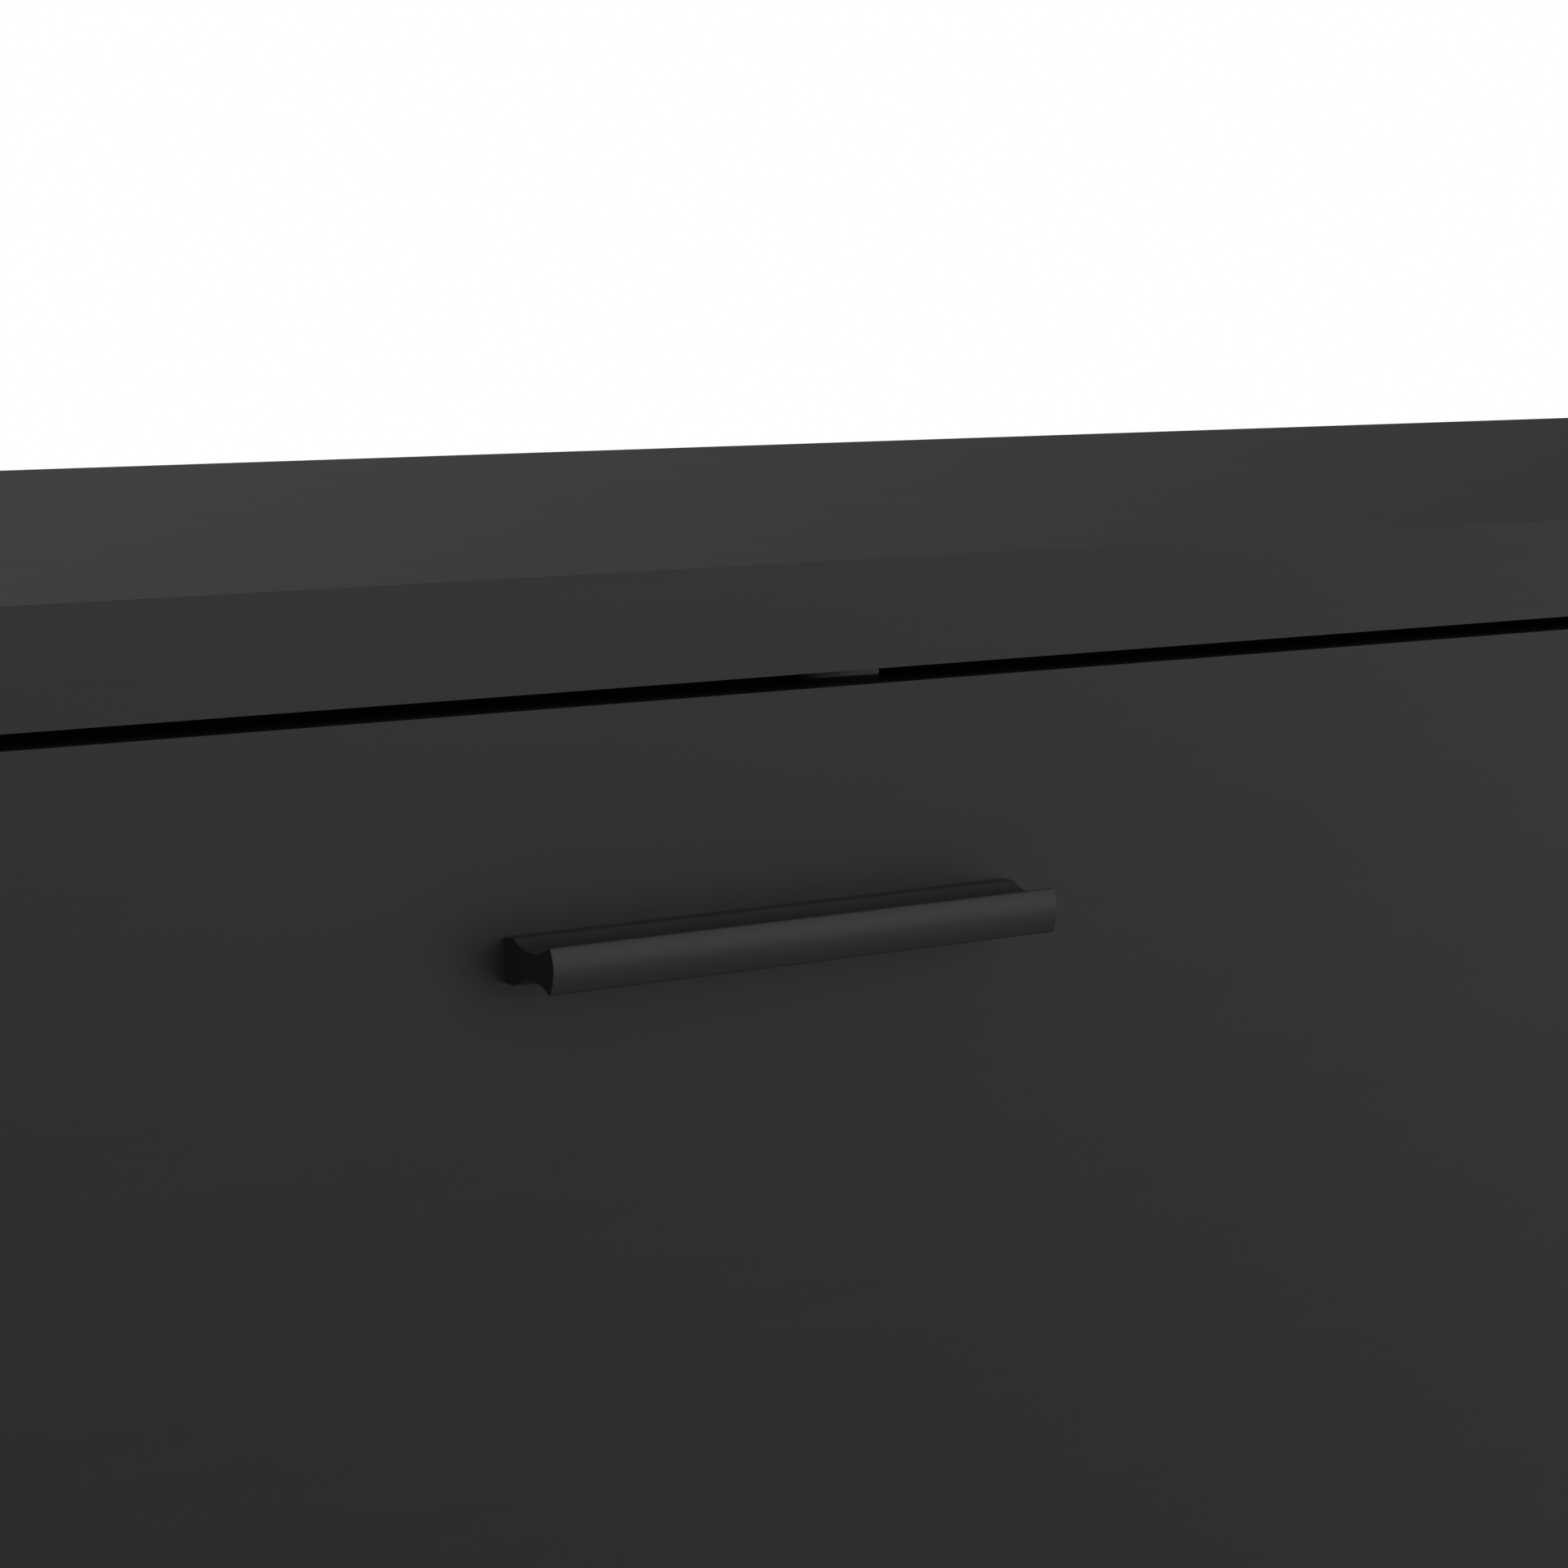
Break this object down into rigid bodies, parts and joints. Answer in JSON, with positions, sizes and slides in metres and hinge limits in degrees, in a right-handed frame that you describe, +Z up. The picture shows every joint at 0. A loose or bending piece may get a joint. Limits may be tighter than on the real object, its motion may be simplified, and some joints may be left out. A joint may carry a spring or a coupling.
{
  "type": "dresser with drawers",
  "caption": "Low black dresser with two columns of full-overlay drawers under a thick flat top, each drawer with a short horizontal bar handle.",
  "frame": {"origin": "on the floor, under the middle of the dresser's whole box, handles included", "axes": "+X to the viewer's right along the width, -Y out of the drawer fronts, +Z up"},
  "size_m": [1.2, 0.4172, 0.8],
  "materials": {
    "black_board": "matte black foil on particleboard, faint fine grain",
    "black_handle": "matte black powder coat on extruded aluminium",
    "drawer_foil": "dark grey paper foil on thin particleboard",
    "drawer_hardboard": "dark grey painted hardboard",
    "back_hardboard": "bare brown hardboard outside, painted inside",
    "runner_plastic": "pale grey moulded plastic",
    "zinc_steel": "bright zinc plating",
    "zinc_cam": "die-cast zinc",
    "glide_nylon": "black nylon"
  },
  "bodies": {
    "carcass": {"top_panel": "black_board", "left_side_panel": "black_board", "right_side_panel": "black_board", "centre_partition": "black_board", "left_bottom_panel": "black_board", "right_bottom_panel": "black_board", "front_rail": "black_board", "plinth": "black_board", "back_panel": "back_hardboard", "drawer_runners": "runner_plastic", "carcass_cam_fittings": "zinc_cam", "floor_glides": "glide_nylon"},
    "upper_left_drawer": {"upper_left_drawer_front": "black_board", "upper_left_drawer_handle": "black_handle", "upper_left_drawer_handle_screws": "zinc_steel", "upper_left_drawer_left_side": "drawer_foil", "upper_left_drawer_right_side": "drawer_foil", "upper_left_drawer_back": "drawer_foil", "upper_left_drawer_bottom": "drawer_hardboard", "upper_left_drawer_cam_fittings": "zinc_cam"},
    "middle_left_drawer": {"middle_left_drawer_front": "black_board", "middle_left_drawer_handle": "black_handle", "middle_left_drawer_handle_screws": "zinc_steel", "middle_left_drawer_left_side": "drawer_foil", "middle_left_drawer_right_side": "drawer_foil", "middle_left_drawer_back": "drawer_foil", "middle_left_drawer_bottom": "drawer_hardboard", "middle_left_drawer_cam_fittings": "zinc_cam"},
    "lower_left_drawer": {"lower_left_drawer_front": "black_board", "lower_left_drawer_handle": "black_handle", "lower_left_drawer_handle_screws": "zinc_steel", "lower_left_drawer_left_side": "drawer_foil", "lower_left_drawer_right_side": "drawer_foil", "lower_left_drawer_back": "drawer_foil", "lower_left_drawer_bottom": "drawer_hardboard", "lower_left_drawer_cam_fittings": "zinc_cam"},
    "upper_right_drawer": {"upper_right_drawer_front": "black_board", "upper_right_drawer_handle": "black_handle", "upper_right_drawer_handle_screws": "zinc_steel", "upper_right_drawer_left_side": "drawer_foil", "upper_right_drawer_right_side": "drawer_foil", "upper_right_drawer_back": "drawer_foil", "upper_right_drawer_bottom": "drawer_hardboard", "upper_right_drawer_cam_fittings": "zinc_cam"},
    "middle_right_drawer": {"middle_right_drawer_front": "black_board", "middle_right_drawer_handle": "black_handle", "middle_right_drawer_handle_screws": "zinc_steel", "middle_right_drawer_left_side": "drawer_foil", "middle_right_drawer_right_side": "drawer_foil", "middle_right_drawer_back": "drawer_foil", "middle_right_drawer_bottom": "drawer_hardboard", "middle_right_drawer_cam_fittings": "zinc_cam"},
    "lower_right_drawer": {"lower_right_drawer_front": "black_board", "lower_right_drawer_handle": "black_handle", "lower_right_drawer_handle_screws": "zinc_steel", "lower_right_drawer_left_side": "drawer_foil", "lower_right_drawer_right_side": "drawer_foil", "lower_right_drawer_back": "drawer_foil", "lower_right_drawer_bottom": "drawer_hardboard", "lower_right_drawer_cam_fittings": "zinc_cam"}
  },
  "joints": [
    {"name": "upper_left_drawer_slide", "type": "slide", "parent": "carcass", "child": "upper_left_drawer", "axis": [0, -1, 0], "range_m": [0, 0.25]},
    {"name": "middle_left_drawer_slide", "type": "slide", "parent": "carcass", "child": "middle_left_drawer", "axis": [0, -1, 0], "range_m": [0, 0.25]},
    {"name": "lower_left_drawer_slide", "type": "slide", "parent": "carcass", "child": "lower_left_drawer", "axis": [0, -1, 0], "range_m": [0, 0.25]},
    {"name": "upper_right_drawer_slide", "type": "slide", "parent": "carcass", "child": "upper_right_drawer", "axis": [0, -1, 0], "range_m": [0, 0.25]},
    {"name": "middle_right_drawer_slide", "type": "slide", "parent": "carcass", "child": "middle_right_drawer", "axis": [0, -1, 0], "range_m": [0, 0.25]},
    {"name": "lower_right_drawer_slide", "type": "slide", "parent": "carcass", "child": "lower_right_drawer", "axis": [0, -1, 0], "range_m": [0, 0.25]}
  ]
}
